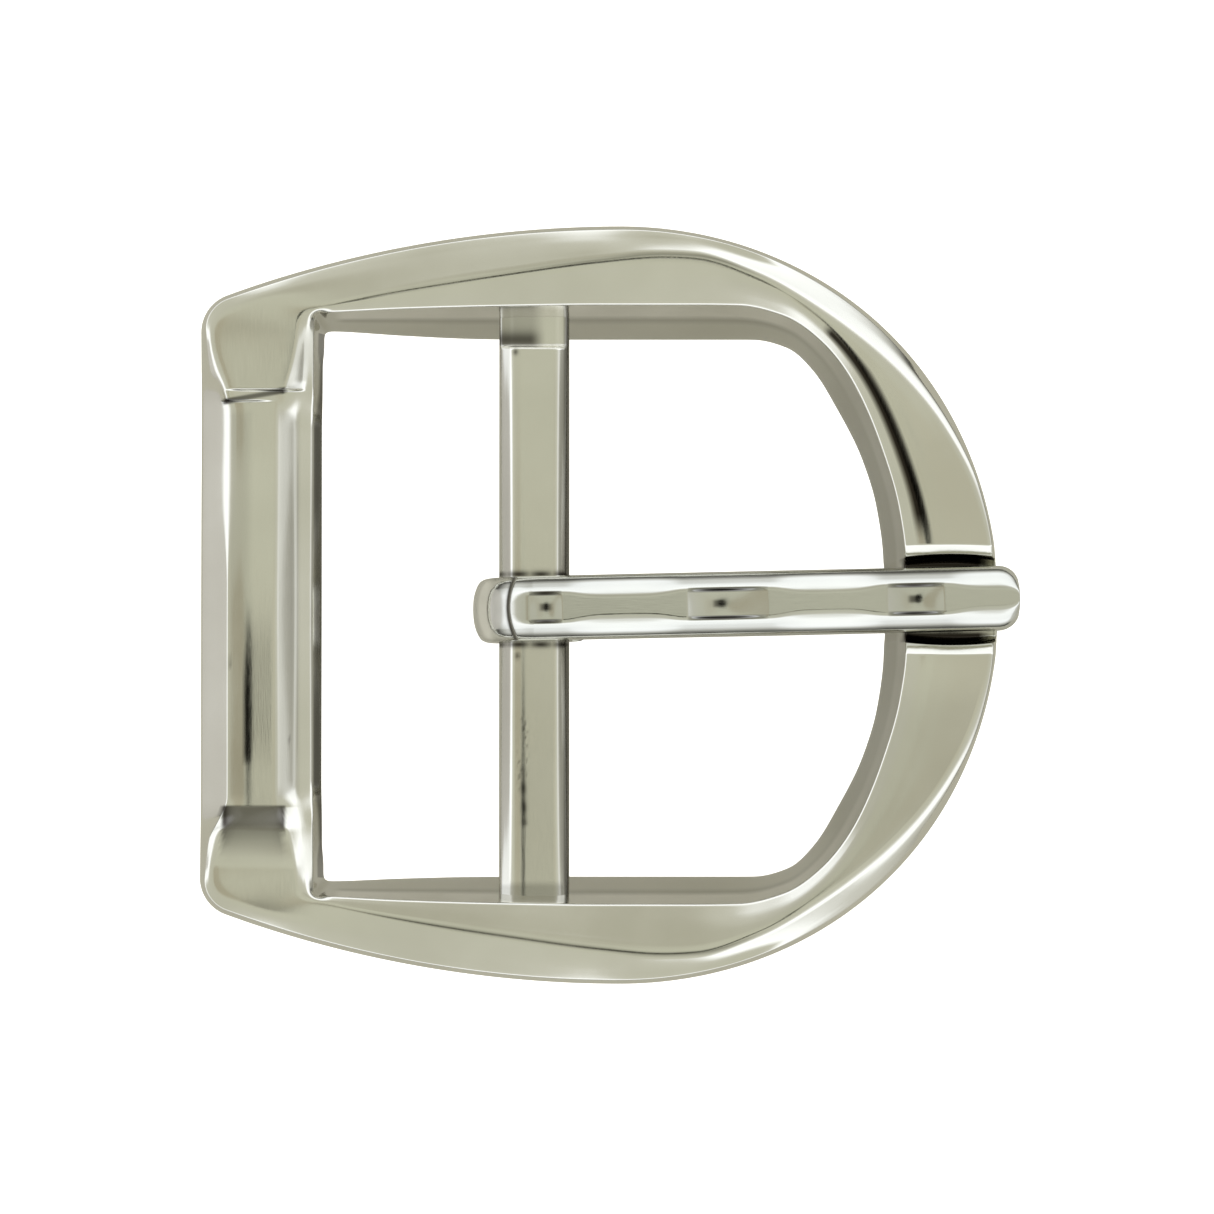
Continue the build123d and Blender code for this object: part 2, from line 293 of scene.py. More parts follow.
def ring_lines():
    """Every feature line round the whole frame, each sampled at the same stations."""
    outline = outer_outline()
    s = lengths(outline)
    direction = np.gradient(outline, axis=0)
    direction /= np.linalg.norm(direction, axis=1, keepdims=True)
    inward = np.stack([direction[:, 1], -direction[:, 0]], 1)
    bevel = outline + inward * along(BEVEL_INSET, s)[:, None]
    bevel[[0, -1], 1] = 0
    flat = np.zeros(len(outline))
    rim = curve(RIM_LINE, 0.18)
    halves = [np.column_stack([outline, flat]),
              np.column_stack([outline, along(EDGE_Z, s)]),
              np.column_stack([bevel, along(BEVEL_Z, s)]),
              curve(CREASE_LINE, 0.7), curve(RIDGE_LINE, 0.3), curve(SHOULDER_LINE, 0.4),
              curve(INNER_LINE, 0.2),
              np.column_stack([rim, np.zeros(len(rim))])]
    whole = []
    for k, line in enumerate(halves):
        sides = []
        for sign, ramp in ((1, UPPER_STEP), (-1, LOWER_STEP)):
            marks = [NOTCH_HALF + sign * NOTCH_Y]
            side = at_stations(line, clustered(NOSE_FROM_Y, 0.0, 0.4, marks, 0.05, 0.9))
            y = side[:, 1]
            if BEVEL <= k <= INNER:
                mid_x, mid_z, crowned, rise_y = KEEPER_MID[k - BEVEL]
                if sign < 0 and k == RIDGE:
                    rise_y = KEEPER_MID[CREASE - BEVEL][3]  # the lower step runs straight across
                on_face = k in (CREASE, RIDGE)
                block = smooth(y, rise_y, rise_y + (ramp if on_face else GENTLE_RISE))
                if on_face and sign < 0:
                    straight = np.clip((y - rise_y) / ramp, 0, 1)
                    block = (1 - LINEAR_SHARE) * block + LINEAR_SHARE * straight
                    roll = smooth(y, rise_y + 0.9 * ramp, rise_y + ramp + LOWER_ROLL)
                    block_z = (1 - LOWER_ROLL_SHARE) * block + LOWER_ROLL_SHARE * roll
                else:
                    block_z = block
                ahead = side[:, 0] > KEEPER_ENDS_X
                block, block_z = np.where(ahead, 1, block), np.where(ahead, 1, block_z)
                turn = np.minimum(y / KEEPER_CROWN_END, 1) * pi / 2
                crown = crowned * KEEPER_CROWN * np.sin(turn) ** 2
                side[:, 0] += (mid_x - side[:, 0]) * (1 - block)
                side[:, 2] += (mid_z - crown - side[:, 2]) * (1 - block_z)
            side[:, 1] *= sign
            sides.append(side)
        upper, lower = sides
        ring = np.concatenate([upper, lower[::-1][1:-1]])
        x, y = ring[:, 0], ring[:, 1]
        if k in (BACK, RIM):
            ring[:, 2] = back_height(x, np.abs(y))
        else:
            ring[:, 2] = np.where(x > NOTCH_FROM_X, notch_cut(ring[:, 2], y), ring[:, 2])
        whole.append(ring)
    return whole


# ---- skins -------------------------------------------------------------------------
def skin(lines, radii, steps, bulges, worn_and_sheen, arc_steps=4):
    """Sections through lines (each n x 3): every line becomes a rounded edge and every strip
    between two lines is divided into steps, swelling by its bulge along Z. Returns the grid
    of points (n x m x 3) and how bright each of its columns is made, by use and by painted
    highlights; worn_and_sheen holds 0 to 1 a line."""
    count = len(lines)
    grid, edge = [], []
    for k in range(count):
        here, before, after = lines[k], lines[k - 1], lines[(k + 1) % count]
        back, ahead = before - here, after - here
        lb = np.linalg.norm(back, axis=1, keepdims=True)
        la = np.linalg.norm(ahead, axis=1, keepdims=True)
        start = here + back / np.maximum(lb, 1e-9) * np.minimum(radii[k], 0.45 * lb)
        end = here + ahead / np.maximum(la, 1e-9) * np.minimum(radii[k], 0.45 * la)
        for t in np.linspace(0, 1, arc_steps + 1):
            grid.append((1 - t) ** 2 * start + 2 * t * (1 - t) * here + t * t * end)
            edge.append(worn_and_sheen[k] * (1 - abs(2 * t - 1)))
        far = lines[(k + 1) % count]
        back = here - far
        lb = np.linalg.norm(back, axis=1, keepdims=True)
        stop = far + back / np.maximum(lb, 1e-9) * np.minimum(radii[(k + 1) % count], 0.45 * lb)
        width = np.linalg.norm(stop - end, axis=1)
        for t in (np.arange(1, steps[k]) / steps[k]):
            p = (1 - t) * end + t * stop
            p[:, 2] += bulges[k] * 4 * t * (1 - t) * np.minimum(width / 2.0, 1)
            grid.append(p)
            edge.append(0.0)
    return np.stack(grid, 1), np.array(edge)


def grid_mesh(name, grid, edge, closed, painted_shade=None):
    """A mesh from a grid of points; a grid that isn't closed gets a fan over each end. edge
    (brightening by use and painted highlights) and painted_shade are stored on its points for the
    finish."""
    n, m = grid.shape[:2]
    verts = grid.reshape(-1, 3)
    rows = n if closed else n - 1
    i, j = np.meshgrid(np.arange(rows), np.arange(m), indexing="ij")
    i2, j2 = (i + 1) % n, (j + 1) % m
    faces = np.stack([i * m + j, i * m + j2, i2 * m + j2, i2 * m + j], -1).reshape(-1, 4).tolist()
    weights = np.broadcast_to(edge, (n, m)).reshape(-1)
    if not closed:
        ends = np.array([grid[0].mean(0), grid[-1].mean(0)])
        verts = np.concatenate([verts, ends])
        weights = np.concatenate([weights, [0, 0]])
        for c, row, flip in ((len(verts) - 2, 0, True), (len(verts) - 1, n - 1, False)):
            for j in range(m):
                a, b = row * m + j, row * m + (j + 1) % m
                faces.append([c, b, a] if flip else [c, a, b])
    mesh = bpy.data.meshes.new(name)
    mesh.from_pydata((verts * MM).tolist(), [], faces)
    shade_values = np.zeros(n * m) if painted_shade is None else painted_shade.reshape(-1)
    shade_values = np.concatenate([shade_values, np.zeros(len(verts) - n * m)])
    for key, values in (("edge", weights), ("painted_shade", shade_values)):
        attribute = mesh.attributes.new(key, "FLOAT", "POINT")
        attribute.data.foreach_set("value", values.astype(np.float32))
    obj = bpy.data.objects.new(name, mesh)
    bpy.context.scene.collection.objects.link(obj)
    bpy.context.view_layer.objects.active = obj
    obj.select_set(True)
    bpy.ops.object.mode_set(mode="EDIT")
    bpy.ops.mesh.select_all(action="SELECT")
    bpy.ops.mesh.normals_make_consistent(inside=False)
    bpy.ops.object.mode_set(mode="OBJECT")
    obj.select_set(False)
    for polygon in mesh.polygons:
        polygon.use_smooth = True
    return obj


# ---- frame -------------------------------------------------------------------------
ARC_STEPS = 6                   # round each of the frame's edges
FRAME_STEPS = [6, 4, 6, 8, 7, 7, 7, 7]          # across the strip after each line
FRAME_BULGES = [0, 0, 0.01, 0, 0.03, 0, 0, 0]
# brightening of the inner front edge, by use and as a painted highlight
INNER_EDGE_WEAR_AND_SHEEN = 0.4
NOTCH_MIDDLE_X = 27.8
NOTCH_HALF_LENGTH = 3.1
NOTCH_BOW = 0.2                 # how far the notch's walls bow in towards its ends
# Painted dark reflections in creases and along the arms' ridge, and painted shade at the keeper's
# foot: columns from the middle of a line's rounded edge, and strength.
NOSE_CREASE = [(-1, 0.8), (0, 1.0), (1, 1.0), (2, 0.6)]
ARM_RIDGE = [(-1, 0.2), (0, 0.5), (1, 0.2)]
KEEPER_STREAK = [(0, 0.6), (1, 0.95), (2, 0.6)]
KEEPER_FOOT = [(0, 0.16), (1, 0.3), (2, 0.16)]
BLOCK_LEFT_X, BLOCK_WIDTH = -20.5, 3.9          # of the end blocks' main face
UPPER_STEP_Y, UPPER_STEP_RISE = 13.52, 0.76     # its line slants outwards to the right
KEEPER_DARK_SPOTS = [(-20.2, -3.9), (-16.3, -9.1)]
FRONT_Z = 1.3                   # the keeper's front is above this
# painted shade at the foot of the keeper's inner wall
KEEPER_WALL_SHADE = 0.72
# a painted highlight under the inner front edge, above a painted shade line
UPPER_WALL_HIGHLIGHT = 0.9
UPPER_WALL_SHADE = 0.25


def make_frame_piece():
    lines = ring_lines()
    # The shoulder line is a broad turn on the arms and a tight crease along the keeper.
    on_arm = smooth(lines[SHOULDER][:, 0:1], -12.0, -4.0)
    bevel_x, bevel_y = lines[BEVEL][:, 0:1], lines[BEVEL][:, 1:2]
    at_bevel = 0.07 + 0.6 * between(bevel_y, 1.0, 9.0, 13.0, 15.0) * (bevel_x < -18)
    radii = [0.4, 0.2, at_bevel, 0.6, 0.2 + 0.18 * on_arm, 0.2 + 0.75 * on_arm, 0.14, 0.35]
    worn_and_sheen = [INNER_EDGE_WEAR_AND_SHEEN if k == INNER else 0 for k in range(len(lines))]
    grid, edge = skin(lines, radii, FRAME_STEPS, FRAME_BULGES, worn_and_sheen, ARC_STEPS)
    painted_shade, edge = paint_frame(grid, edge)
    x, y = grid[..., 0], grid[..., 1]
    towards_end = np.clip(np.abs(x - NOTCH_MIDDLE_X) / NOTCH_HALF_LENGTH, 0, 1.2)
    from_wall = np.abs(y - NOTCH_Y) - NOTCH_HALF
    bow = NOTCH_BOW * towards_end ** 2 * np.exp(-(from_wall / 0.6) ** 2)
    grid[..., 1] -= np.sign(y - NOTCH_Y) * bow * (x > 22)
    return grid_mesh("frame_casting", grid, edge, True, painted_shade)


def shade_columns(painted_shade, middle, table, where):
    """Painted shade along the columns round a line's middle one, by a table of strengths."""
    for offset, strength in table:
        column = middle + offset
        painted_shade[:, column] = np.maximum(painted_shade[:, column], strength * where)


def paint_frame(grid, edge):
    """Painted shade and dark reflections on the frame, a few dark spots, and a painted highlight
    under its inner front edge.
    """
    x, y, z = grid[..., 0], grid[..., 1], grid[..., 2]
    first = np.cumsum([0] + [ARC_STEPS + count for count in FRAME_STEPS])
    middle = first + ARC_STEPS // 2
    # Painted shade on the notch's walls.
    d = np.abs(y - NOTCH_Y)
    painted_shade = between(d, 1.9, 2.3, NOTCH_HALF - 0.02, NOTCH_HALF + 0.08)
    painted_shade = painted_shade * smooth(-z, -2.6, -2.2) * smooth(z, -0.4, 0.9)
    painted_shade = painted_shade * between(x, 23.9, 24.9, 29.7, 30.7)

    # A painted dark reflection in the crease on the nose above the prong.
    line_x, line_y = x[:, middle[SHOULDER]], y[:, middle[SHOULDER]]
    on_nose = between(line_y, 3.7, 6.0, 18.0, 18.6) * (line_x > 10)
    shade_columns(painted_shade, middle[SHOULDER], NOSE_CREASE, on_nose)

    # A painted dark reflection along the ridge of the arms, fainter on the upper arm's left part.
    line_x, line_y = x[:, middle[RIDGE]], y[:, middle[RIDGE]]
    on_ridge = between(line_x, -13.0, -9.0, 12.0, 16.0)
    on_ridge = on_ridge * np.where(line_y > 0, 0.25 + 0.75 * smooth(line_x, -4, 6), 1)
    shade_columns(painted_shade, middle[RIDGE], ARM_RIDGE, on_ridge)

    # Painted shade on the step up to the upper block, darkest at its ends, and on the slope up to
    # the lower one.
    across = np.clip((x - BLOCK_LEFT_X) / BLOCK_WIDTH, 0, 1)
    from_middle = np.abs(2 * across - 1)
    on_face = between(x, -20.9, -20.6, -16.7, -16.4) * (z > FRONT_Z)
    step_y = UPPER_STEP_Y + UPPER_STEP_RISE * across
    upper = (0.75 + 0.25 * from_middle ** 3) * np.exp(-((y - step_y) / 0.19) ** 4)
    foot, slope = 1 - smooth(-y, 14.6, 15.0), 1 - smooth(-y, 14.8, 17.3)
    lower = smooth(-y, 13.3, 13.5) * (0.12 * foot + 0.6 * slope)
    lower = lower * (1 + 0.35 * from_middle ** 5)
    painted_shade = np.maximum(painted_shade, on_face * np.where(y > 0, upper, lower))

    # A painted dark reflection in the keeper's crease on the lower side, and painted shade at the
    # foot of its right facet.
    on_keeper = x[:, middle[CREASE]] < -18
    streak = between(-y[:, middle[CREASE]], 1.4, 6.0, 10.2, 10.7)
    shade = 1 - smooth(np.abs(y[:, middle[SHOULDER]]), 9.0, 12.0)
    shade_columns(painted_shade, middle[CREASE], KEEPER_STREAK, streak * on_keeper)
    shade_columns(painted_shade, middle[SHOULDER], KEEPER_FOOT, shade * on_keeper)

    # Painted shade at the foot of the wall inside the keeper.
    wall = (x > -14.7) & (x < -13.5) & (np.abs(y) < 18.2)
    painted_shade = np.maximum(painted_shade, KEEPER_WALL_SHADE * wall * (1 - smooth(z, 1.0, 1.5)))

    # Painted shade darkening facets: the keeper's outer and right ones, the nose's lower arm and
    # inner wall.
    beside_blocks = 1 - smooth(np.abs(y), 12.4, 13.2)
    outer_facet = between(x, -20.4, -20.1, -19.3, -18.6)
    right_facet = between(x, -17.1, -16.7, -15.8, -15.5)
    facets = beside_blocks * (z > FRONT_Z) * np.maximum(outer_facet, right_facet)
    painted_shade = np.maximum(painted_shade, 0.15 * facets)
    arm = slice(first[RIDGE] + ARC_STEPS, first[INNER])
    shaded_arm = 0.13 * smooth(-y[:, arm], 4.0, 8.0) * smooth(x[:, arm], 12.0, 18.0)
    painted_shade[:, arm] = np.maximum(painted_shade[:, arm], shaded_arm)
    inner_wall = slice(first[INNER] + ARC_STEPS, first[RIM] + 1)
    shaded_wall = 0.31 * smooth(x[:, inner_wall], 16.0, 23.0)
    painted_shade[:, inner_wall] = np.maximum(painted_shade[:, inner_wall], shaded_wall)

    # Small dark spots on the keeper's front.
    for smudge in KEEPER_DARK_SPOTS:
        painted_shade = np.maximum(painted_shade, 0.5 * spot(x, y, smudge, (0.14, 0.4)) * (z > 1.0))

    # Under the inner front edge the wall gets a painted highlight, above a painted brown shade
    # line.
    edge = np.tile(edge, (len(x), 1))
    top_of_wall = first[INNER] + ARC_STEPS
    past_keeper = smooth(x[:, top_of_wall], -13.6, -12.6)
    edge[:, top_of_wall:top_of_wall + 3] = UPPER_WALL_HIGHLIGHT * past_keeper[:, None]
    shade_columns(painted_shade, top_of_wall, [(3, UPPER_WALL_SHADE)], past_keeper)
    return painted_shade, edge


# ---- centre bar --------------------------------------------------------------------
BAR_STEPS = [3, 3, 3, 26, 4, 3, 3, 6, 3]        # across the strip after each line
BAR_WEAR = [0, 0, 0.3, 0, 0.3, 0, 0, 0, 0]
BAR_END_Y = 16.6                # the bar's ends, with finer stations, start here
RECESS_FROM_Y, RECESS_TO_Y = 17.15, 17.5        # where the top steps down
RECESS_DEPTH = 0.34
LOOP_SHADE_OFFSET = 0.2                # the painted shade beside the loop lies this far outside its sides
BAR_SPOTS = [(-1.25, 16.95), (-1.1, -3.4)]
# a painted dark reflection streak on the bar's lower half
BAR_STREAK_X, BAR_STREAK_Y, BAR_STREAK_LEAN = -0.68, -13, 0.03


def make_bar_piece():
    """A flat bar, crowned along its length, whose top steps down before the upper arm."""
    loop_sides = [PRONG_OFFSET_Y + sign * (PRONG_HALF_WIDTH + LOOP_SHADE_OFFSET) for sign in (-1, 1)]
    ys = np.concatenate([
        np.linspace(-BAR_HALF_LENGTH, -BAR_END_Y, 50)[:-1],
        clustered(-BAR_END_Y, BAR_END_Y, 0.18, loop_sides, 0.07, 0.4)[:-1],
        np.linspace(BAR_END_Y, BAR_HALF_LENGTH, 50)])
    dip = RECESS_DEPTH * smooth(ys, RECESS_FROM_Y, RECESS_TO_Y)
    fall = BAR_FALL * (ys / BAR_HALF_LENGTH) ** 2
    lines = []
    for x, z, on_top in BAR_SECTION:
        height = z - fall - dip if on_top else np.full(len(ys), z)
        lines.append(np.stack([np.full(len(ys), x), ys, height], 1))
    grid, edge = skin(lines, BAR_RADII, BAR_STEPS, [0] * len(lines), BAR_WEAR)
    return grid_mesh("centre_bar_flat", grid, edge, False, paint_bar(grid, loop_sides))


def paint_bar(grid, loop_sides):
    """Painted shade and painted dark reflections on the bar, and two dark spots."""
    x, y, z = grid[..., 0], grid[..., 1], grid[..., 2]
    # Painted shade in the recess, thickest at its foot and under the arm's edge, and at the lower
    # end.
    recess = 0.32 + 0.55 * np.exp(-((y - 17.8) / 0.6) ** 2) + (
        0.5 * np.exp(-((y - 20.0) / 0.35) ** 2))
    recess = recess * smooth(y, 17.3, 17.5) * (1 - smooth(x, -0.3, 0.9))
    lower_end = 0.35 * smooth(-y, 18.3, 18.9)
    # Painted shade beside the loop, broken up across the bar.
    beside = np.min([np.abs(y - side) for side in loop_sides], axis=0)
    broken = 0.42 + 0.55 * np.abs(np.sin(2.1 * x + 0.6))
    loop_shade = broken * np.exp(-(beside / 0.24) ** 2)
    # A painted dark reflection along the bar's right side, and a painted darker tone on its left
    # strip.
    right_edge = 0.75 * smooth(x, 1.85, 2.15) * smooth(z, -0.2, 0.3)
    left_strip = 0.16 * (x < -1.6)
    # A painted dark reflection streak on the lower half, that breaks up into specks towards the
    # loop.
    from_bar_streak = x - BAR_STREAK_X + BAR_STREAK_LEAN * (y - BAR_STREAK_Y)
    bar_streak = np.exp(-(from_bar_streak / 0.19) ** 2) * between(-y, 9.8, 12.0, 14.5, 14.9)
    bar_streak = bar_streak * (0.75 + 0.25 * np.sin(5 * y))
    speckle = np.sin(37.0 * x + 11.0 * y) * np.sin(23.0 * x - 17.0 * y + 1.0)
    specks = smooth(speckle, 0.35, 0.6) * np.exp(-((x + 0.75) / 0.35) ** 4)
    specks = 0.6 * specks * between(-y, 7.2, 8.2, 11.5, 13.0)
    marks = 0.9 * np.maximum(bar_streak, specks)
    for at in BAR_SPOTS:
        marks = np.maximum(marks, 0.75 * spot(x, y, at, (0.17, 0.22)))
    on_top = z > 0.2
    return np.max([recess * on_top, loop_shade * on_top, lower_end * on_top, marks * (z > 0.5),
                   right_edge + left_strip], axis=0)


# ---- prong -------------------------------------------------------------------------
PRONG_TIP_X = 32.3
PRONG_HALF_WIDTH = 2.15
PRONG_YAW = radians(1.3)
PRONG_OFFSET_Y = -0.3
LOOP_BORE = 2.52
LOOP_OUTER = 4.1
# Each hollow: from, to, depth, and how far its lowest point stands towards the loop.
GROOVES = [(-0.3, 1.9, 0.02, 0.0), (10.2, 15.6, 0.22, 0.22), (23.5, 27.3, 0.12, 0.06)]
GROOVE_HALF = 1.0
LOOP_STEP = 0.2
HOLLOW_LOW_Y = -0.33            # the hollows' lowest line, across the prong
PIT_Y = 0.02
HOLLOW_CURVE = 0.12             # curvature of their floors across the prong, per mm
FLOOR_DROP = 0.13               # how much lower a hollow's middle is for that curvature
TIP_CORNER = 1.35               # radius of the tip's corners in plan
TIP_CORNER_SHARE = 0.96
LEAD_X = 1.2                    # the underside turns into the loop's bore over this length
LEAD_Z = 2.3
CURL_TURN = 2.3                 # the loop's stations are closer together up to this angle
CURL_END = 2 * pi - 0.32        # and end at this one, under the shank
CURL_FINE, CURL_COARSE = 46, 60
PRONG_STEPS = [4, 4, 5, 44, 5, 4, 4, 6]         # across the strip after each line
PRONG_BULGES = [0, 0, 0.035, 0, 0.035, 0, 0, 0]
PRONG_WEAR = [0, 0, 0.2, 0.15, 0.15, 0.2, 0, 0]


def shank_top(x):
    return 4.1 - 0.35 * np.clip(x / PRONG_TIP_X, 0, 1)


def shank_under(x):
    return 2.3 - 1.25 * smooth(x, 2.0, 19.0)


def make_prong_piece():
    """One strip: tip, shank and the loop closed round the bar, curled end under the shank."""
    marks = [v for a, b, _, _ in GROOVES for v in (a, (a + b) / 2, b)]
    xs = clustered(PRONG_TIP_X, 0.0, 0.3, marks, 0.08, 0.45)
    tip = clustered(0.0, 1.6, 0.3, [0.0], 0.07, 0.5)
    xs = np.unique(np.concatenate([xs[xs < PRONG_TIP_X - 1.6], PRONG_TIP_X - tip]))[::-1]
    curl = np.concatenate([np.linspace(pi / 2, CURL_TURN, CURL_FINE)[1:],
                           np.linspace(CURL_TURN, CURL_END, CURL_COARSE)[1:]])
    on_circle = np.stack([np.cos(curl), np.sin(curl)], 1)
    bore_start_x = LOOP_BORE * np.cos(asin(LEAD_Z / LOOP_BORE))
    inner_x = np.where(xs > LEAD_X, xs, bore_start_x * xs / LEAD_X)
    inner_z = np.where(xs > LEAD_X, shank_under(xs),
                       np.sqrt(np.maximum(LOOP_BORE ** 2 - inner_x ** 2, 0)))
    outer = np.concatenate([np.stack([xs, shank_top(xs)], 1), LOOP_OUTER * on_circle])
    inner = np.concatenate([np.stack([inner_x, inner_z], 1), LOOP_BORE * on_circle])
    n = len(outer)
    across = outer - inner
    thickness = np.linalg.norm(across, axis=1)
    # Plan half-width: square shoulders at the loop, softened corners at the tip.
    half = np.full(n, PRONG_HALF_WIDTH)
    into_corner = np.maximum(TIP_CORNER - (PRONG_TIP_X - xs), 0)
    inset = TIP_CORNER - np.sqrt(np.maximum(TIP_CORNER ** 2 - into_corner ** 2, 0))
    half[:len(xs)] -= inset * TIP_CORNER_SHARE
    # The flat on top takes this share of the half-width, and widens at each groove.
    gap = np.min([np.maximum(np.maximum(a - xs, xs - b), 0) for a, b, _, _ in GROOVES], axis=0)
    crown_share = np.full(n, 0.5)
    crown_share[:len(xs)] = 0.33 + 0.15 * np.exp(-(gap / 1.5) ** 2)
    # On the loop the strip's outer edges round off into a barrel.
    barrel = np.zeros(n)
    barrel[len(xs):] = smooth(np.arange(n - len(xs)), 0, CURL_FINE)
    # Each line's share of the half-width, and its depth below the outer face.
    profile = [(np.ones(n), thickness), (np.ones(n), np.minimum(0.87, 0.88 * thickness)),
               (0.79 + 0.08 * barrel, 0.42 - 0.04 * barrel),
               (crown_share - 0.12 * barrel, np.zeros(n))]
    lines = [np.stack([outer[:, 0] - across[:, 0] / thickness * drop, side * share * half,
                       outer[:, 1] - across[:, 1] / thickness * drop], 1)
             for side, order in ((1, profile), (-1, profile[::-1])) for share, drop in order]
    # The shank's edges are crisp, and the loop is a smooth barrel.
    barrel = barrel[:, None]
    lower, upper = 0.3 + 0.7 * barrel, 0.2 + 0.8 * barrel
    radii = [0.22, lower, lower, upper, upper, lower, lower, 0.22]
    grid, edge = skin(lines, radii, PRONG_STEPS, PRONG_BULGES, PRONG_WEAR)
    painted_shade = carve_prong(grid)
    # A painted highlight brightens the loop's outer end.
    edge = np.maximum(edge, 0.9 * smooth(-grid[..., 0], 2.5, 3.1))
    c, s = cos(PRONG_YAW), sin(PRONG_YAW)
    x, y = grid[..., 0].copy(), grid[..., 1].copy()
    grid[..., 0] = c * x - s * y
    grid[..., 1] = s * x + c * y + PRONG_OFFSET_Y
    return grid_mesh("prong_hinged", grid, edge, False, painted_shade)


def carve_prong(grid):
    """Cross recesses in the crown, with steep side walls and a floor hollow both ways, and the
    curved step down from the shank to the loop. Returns painted shade in the hollows and the
    step's crease."""
    x, y, z = grid[..., 0].copy(), grid[..., 1], grid[..., 2]
    top = shank_top(np.maximum(x, 0))
    crown = (z > top - 0.55) & (np.abs(y) < 1.5) & (x > -1.5)
    side = 1 - smooth(np.abs(y), GROOVE_HALF - 0.16, GROOVE_HALF + 0.02)
    depth, painted_shade = np.zeros_like(z), np.zeros_like(z)
    for start, end, deep, skew in GROOVES:
        u = np.clip(2 * (x - start) / (end - start) - 1, -1, 1)
        inside = (x > start) & (x < end)
        hollow = np.where(inside, 1 - (u + skew * (1 - u * u)) ** 2, 0)
        rise = HOLLOW_CURVE / 2 * (y - HOLLOW_LOW_Y) ** 2
        depth = np.maximum(depth, hollow * (deep + np.maximum(FLOOR_DROP - rise, 0)))
        # Painted shade along each hollow's sides and a dark spot at its lowest point.
        rim = between(np.abs(y), GROOVE_HALF - 0.26, GROOVE_HALF - 0.14,
                      GROOVE_HALF, GROOVE_HALF + 0.12)
        low_x = (start + end) / 2 - skew * (end - start) / 2
        pit = 0.8 * np.exp(-((x - low_x) / 0.4) ** 4 - ((y - PIT_Y) / 0.26) ** 4)
        painted_shade = np.maximum(painted_shade, np.maximum(rim * np.sqrt(hollow), pit))
    z -= np.where(crown, depth * side, 0)
    step_x = -1.1 - 0.45 * (1 - np.minimum(np.abs(y) / 2.0, 1) ** 2)
    down = smooth(step_x - x, 0.0, 0.22) * smooth(z, 1.5, 2.5)
    z -= LOOP_STEP * down
    # Painted shade in the crease of the step down to the loop.
    crease = np.exp(-((x - step_x + 0.16) / 0.15) ** 2) * smooth(z, 2.2, 2.9)
    return np.maximum(painted_shade * crown, 0.9 * crease)


# ---- node helpers ------------------------------------------------------------------
MIX_FACTOR, MIX_BELOW, MIX_ABOVE = 0, 6, 7      # the colour sockets of a Mix node
MIX_RESULT = 2


def feed(tree, socket, value):
    """Set a socket to a number or a colour, or link another node's output to it."""
    if isinstance(value, bpy.types.NodeSocket):
        tree.links.new(value, socket)
    else:
        socket.default_value = (*value, 1) if isinstance(value, tuple) else value


def mix_colours(tree, factor, below, above):
    node = tree.nodes.new("ShaderNodeMix")
    node.data_type = "RGBA"
    feed(tree, node.inputs[MIX_FACTOR], factor)
    feed(tree, node.inputs[MIX_BELOW], below)
    feed(tree, node.inputs[MIX_ABOVE], above)
    return node.outputs[MIX_RESULT]


def combine(tree, operation, a, b):
    node = tree.nodes.new("ShaderNodeMath")
    node.operation = operation
    feed(tree, node.inputs[0], a)
    feed(tree, node.inputs[1], b)
    return node.outputs[0]


def spread(tree, value, low, high, to_low, to_high, interpolation="LINEAR"):
    node = tree.nodes.new("ShaderNodeMapRange")
    node.interpolation_type = interpolation
    for key, number in (("From Min", low), ("From Max", high),
                        ("To Min", to_low), ("To Max", to_high)):
        node.inputs[key].default_value = number
    tree.links.new(value, node.inputs["Value"])
    return node.outputs["Result"]


# ---- nickel ------------------------------------------------------------------------
CLOUD_SCALE, PATCH_SCALE, MARKS_SCALE = 160, 260, 14000
POLISH_STRETCH = 0.06
WORN_AND_SHEEN_COLOUR = (0.9, 0.89, 0.84)
# near black, for painted shade and painted dark reflections
PAINTED_SHADE_COLOUR = (0.035, 0.03, 0.024)


